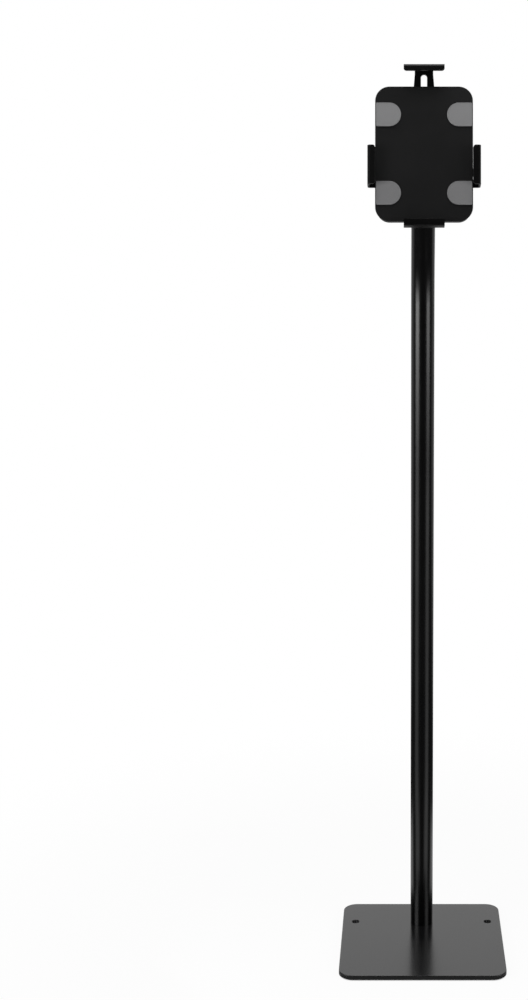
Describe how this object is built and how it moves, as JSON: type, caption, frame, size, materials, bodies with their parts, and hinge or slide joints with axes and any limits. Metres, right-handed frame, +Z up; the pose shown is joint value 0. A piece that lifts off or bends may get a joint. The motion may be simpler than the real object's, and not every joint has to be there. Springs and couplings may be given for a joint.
{
  "type": "adjustable tablet floor stand",
  "caption": "Floor stand for a tablet: square base plate, round column bent forward at the top, and a tilting, turning holder with sliding hook arms.",
  "frame": {"origin": "on the floor, under the middle of the square base", "axes": "+Z up, +X to the right of someone who faces the tablet, -Y towards that person"},
  "size_m": [0.242, 0.242, 1.2776],
  "materials": {
    "base_paint": "satin dark powder coat",
    "column_paint": "smooth black powder coat",
    "bracket_paint": "satin black powder coat",
    "plate_paint": "satin black powder coat",
    "cover_paint": "cast, with satin black powder coat",
    "arm_paint": "satin black powder coat",
    "pad_foam": "matte grey closed-cell rubber",
    "liner_rubber": "matte black rubber",
    "foot_rubber": "matte black rubber",
    "black_screw": "black oxide",
    "zinc_steel": "zinc plated",
    "nylon": "natural nylon",
    "lock_metal": "polished nickel plate"
  },
  "bodies": {
    "stand": {"base_plate": "base_paint", "base_feet": "foot_rubber", "column_tube": "column_paint", "foot_plug": "zinc_steel", "base_screws": "zinc_steel", "neck_plug": "column_paint", "tilt_yoke": "bracket_paint", "yoke_screw": "black_screw", "tilt_bolt": "black_screw", "tilt_nut": "black_screw", "tilt_washers": "black_screw", "friction_washers": "nylon"},
    "tilt_head": {"tilt_bracket": "bracket_paint", "swivel_bolt": "zinc_steel", "swivel_nut": "zinc_steel", "swivel_disc": "nylon", "spring_washer": "zinc_steel"},
    "holder": {"front_plate": "plate_paint", "pad_top_left": "pad_foam", "pad_top_right": "pad_foam", "pad_bottom_left": "pad_foam", "pad_bottom_right": "pad_foam", "rear_cover": "cover_paint", "standoffs": "zinc_steel", "cover_screws": "black_screw", "clamp_screws": "black_screw", "top_slide_nut": "zinc_steel", "bottom_slide_nut": "zinc_steel", "left_slide_nut": "zinc_steel", "right_slide_nut": "zinc_steel", "stop_pin": "zinc_steel", "lock_barrel": "lock_metal", "lock_nut": "lock_metal"},
    "top_arm": {"top_arm": "arm_paint", "top_liner": "liner_rubber"},
    "bottom_arm": {"bottom_arm": "arm_paint", "bottom_liner": "liner_rubber"},
    "left_arm": {"left_arm": "arm_paint", "left_liner": "liner_rubber"},
    "right_arm": {"right_arm": "arm_paint", "right_liner": "liner_rubber"},
    "lock": {"lock_plug": "lock_metal", "lock_cam": "zinc_steel", "cam_screw": "zinc_steel"}
  },
  "joints": [
    {"name": "holder_tilt", "type": "hinge", "parent": "stand", "child": "tilt_head", "pos_m": [0, -0.00705, 1.15003], "axis": [-1, 0, 0], "range_deg": [-12, 33]},
    {"name": "holder_rotation", "type": "hinge", "parent": "tilt_head", "child": "holder", "pos_m": [0, -0.02955, 1.15481], "axis": [0, -0.9781, 0.2079], "range_deg": [0, 90]},
    {"name": "top_arm_slide", "type": "slide", "parent": "holder", "child": "top_arm", "axis": [0, 0.2079, 0.9781], "range_m": [0, 0.07]},
    {"name": "bottom_arm_slide", "type": "slide", "parent": "holder", "child": "bottom_arm", "axis": [0, -0.2079, -0.9781], "range_m": [0, 0.028]},
    {"name": "left_arm_slide", "type": "slide", "parent": "holder", "child": "left_arm", "axis": [-1, 0, 0], "range_m": [0, 0.034]},
    {"name": "right_arm_slide", "type": "slide", "parent": "holder", "child": "right_arm", "axis": [1, 0, 0], "range_m": [0, 0.034]},
    {"name": "lock_turn", "type": "hinge", "parent": "holder", "child": "lock", "pos_m": [0.034, -0.02725, 1.1993], "axis": [0, -0.9781, 0.2079], "range_deg": [0, 90]}
  ]
}
